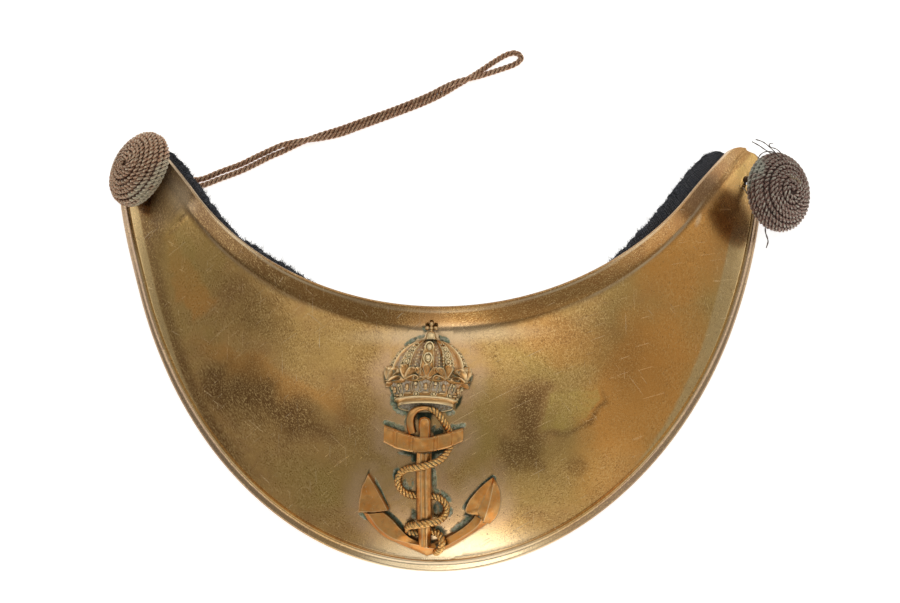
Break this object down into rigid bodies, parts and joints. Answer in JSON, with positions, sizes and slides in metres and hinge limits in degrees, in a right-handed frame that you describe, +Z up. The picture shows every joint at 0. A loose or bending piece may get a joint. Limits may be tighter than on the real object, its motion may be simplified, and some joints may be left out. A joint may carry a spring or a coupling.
{
  "type": "officer's gorget",
  "caption": "Brass crescent neck plate lying on its back, with a crowned anchor, cloth lining, wound cord buttons and a loop of twisted cord.",
  "frame": {"origin": "on the resting surface, under the middle of the gorget's box without its cord", "axes": "+Z up from the surface it lies on, its front upward; +Y towards the neck opening; +X to the viewer's right as the front is read"},
  "size_m": [0.1646, 0.1374, 0.033],
  "materials": {
    "old_brass": "satin, tarnished",
    "bright_brass": "satin",
    "black_cloth": "napped wool cloth",
    "old_wire": "twisted metal thread, oxidised",
    "cord_brown": "twisted metal thread, oxidised"
  },
  "bodies": {
    "root": {"plate": "old_brass", "lining": "black_cloth", "crown": "bright_brass", "anchor": "bright_brass", "button_left": "old_wire", "button_right": "old_wire", "shank_left": "old_wire", "shank_right": "old_wire", "cord": "cord_brown"}
  },
  "joints": []
}
